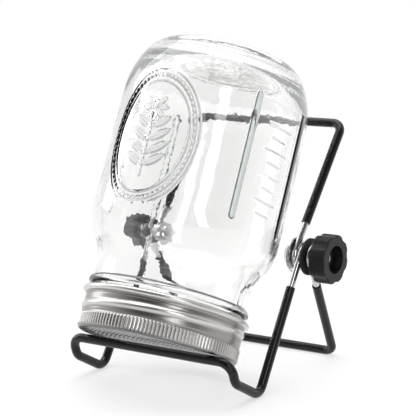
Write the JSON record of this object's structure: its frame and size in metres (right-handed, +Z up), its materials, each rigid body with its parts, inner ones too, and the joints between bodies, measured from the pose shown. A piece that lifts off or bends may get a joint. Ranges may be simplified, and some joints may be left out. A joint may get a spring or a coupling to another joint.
{
  "type": "sprouting jar on folding tilt stand",
  "caption": "Glass screw-top jar with a mesh strainer lid, leaning mouth down on a folding bent-wire stand clamped by side knobs.",
  "frame": {"origin": "on the table, under the middle of the whole object's box", "axes": "+Z up, +X across the stand along the clamp bolts, +Y from the lid towards the rear leg"},
  "size_m": [0.1154, 0.1278, 0.1529],
  "materials": {
    "wire": "bright steel wire",
    "coat": "dipped glossy black",
    "hardware": "bright plated",
    "knob": "satin moulded",
    "band": "rolled tinplate",
    "screen": "woven stainless",
    "rubber": "soft matt",
    "seal": "soft pale silicone",
    "glass": "clear pressed glass"
  },
  "bodies": {
    "base_frame": {"base_wire": "wire", "base_coat": "coat", "bolt_right": "hardware", "bevel_washer_right": "hardware", "friction_disc_right": "rubber", "bolt_left": "hardware", "bevel_washer_left": "hardware", "friction_disc_left": "rubber"},
    "back_rest": {"back_rest_wire": "wire", "back_rest_coat": "coat"},
    "rear_leg": {"rear_leg_wire": "wire", "rear_leg_coat": "coat"},
    "lid": {"lid_band": "band"},
    "screen": {"screen_rim": "screen", "screen_mesh": "screen", "gasket_ring": "seal"},
    "jar": {"jar_glass": "glass"},
    "clamp_washer_right": {"knob_washer_right": "hardware"},
    "clamp_knob_right": {"knob_right": "knob", "knob_insert_right": "hardware"},
    "clamp_washer_left": {"knob_washer_left": "hardware"},
    "clamp_knob_left": {"knob_left": "knob", "knob_insert_left": "hardware"}
  },
  "joints": [
    {"name": "back_rest_tilt", "type": "hinge", "parent": "base_frame", "child": "back_rest", "pos_m": [0, 0.0241, 0.05337], "axis": [-1, 0, 0], "range_deg": [-30, 3]},
    {"name": "rear_leg_fold", "type": "hinge", "parent": "base_frame", "child": "rear_leg", "pos_m": [0, 0.0241, 0.05337], "axis": [1, 0, 0], "range_deg": [-45, 60]},
    {"name": "jar_lean", "type": "hinge", "parent": "base_frame", "child": "lid", "pos_m": [0, -0.03799, 0.02014], "axis": [-1, 0, 0], "range_deg": [-17.2, 1.8]},
    {"name": "jar_turn", "type": "hinge", "parent": "lid", "child": "screen", "pos_m": [0, -0.03247, 0.01996], "axis": [0, 0.455, 0.8905], "range_deg": [0, 360]},
    {"name": "jar_rise", "type": "slide", "parent": "screen", "child": "jar", "axis": [0, 0.455, 0.8905], "range_m": [0, 0.00636]},
    {"name": "knob_back_off_right", "type": "slide", "parent": "base_frame", "child": "clamp_washer_right", "axis": [1, 0, 0], "range_m": [0, 0.00201]},
    {"name": "knob_turn_right", "type": "hinge", "parent": "clamp_washer_right", "child": "clamp_knob_right", "pos_m": [0, 0.0241, 0.05337], "axis": [1, 0, 0], "range_deg": [0, 720]},
    {"name": "knob_back_off_left", "type": "slide", "parent": "base_frame", "child": "clamp_washer_left", "axis": [-1, 0, 0], "range_m": [0, 0.00201]},
    {"name": "knob_turn_left", "type": "hinge", "parent": "clamp_washer_left", "child": "clamp_knob_left", "pos_m": [0, 0.0241, 0.05337], "axis": [-1, 0, 0], "range_deg": [0, 720]}
  ],
  "couplings": [
    {"joint": "jar_lean", "follows": "back_rest_tilt", "ratio": 0.57},
    {"joint": "jar_rise", "follows": "jar_turn", "m_per_rad": 0.0010106},
    {"joint": "knob_back_off_right", "follows": "knob_turn_right", "m_per_rad": 0.00015915},
    {"joint": "knob_back_off_left", "follows": "knob_turn_left", "m_per_rad": 0.00015915}
  ]
}
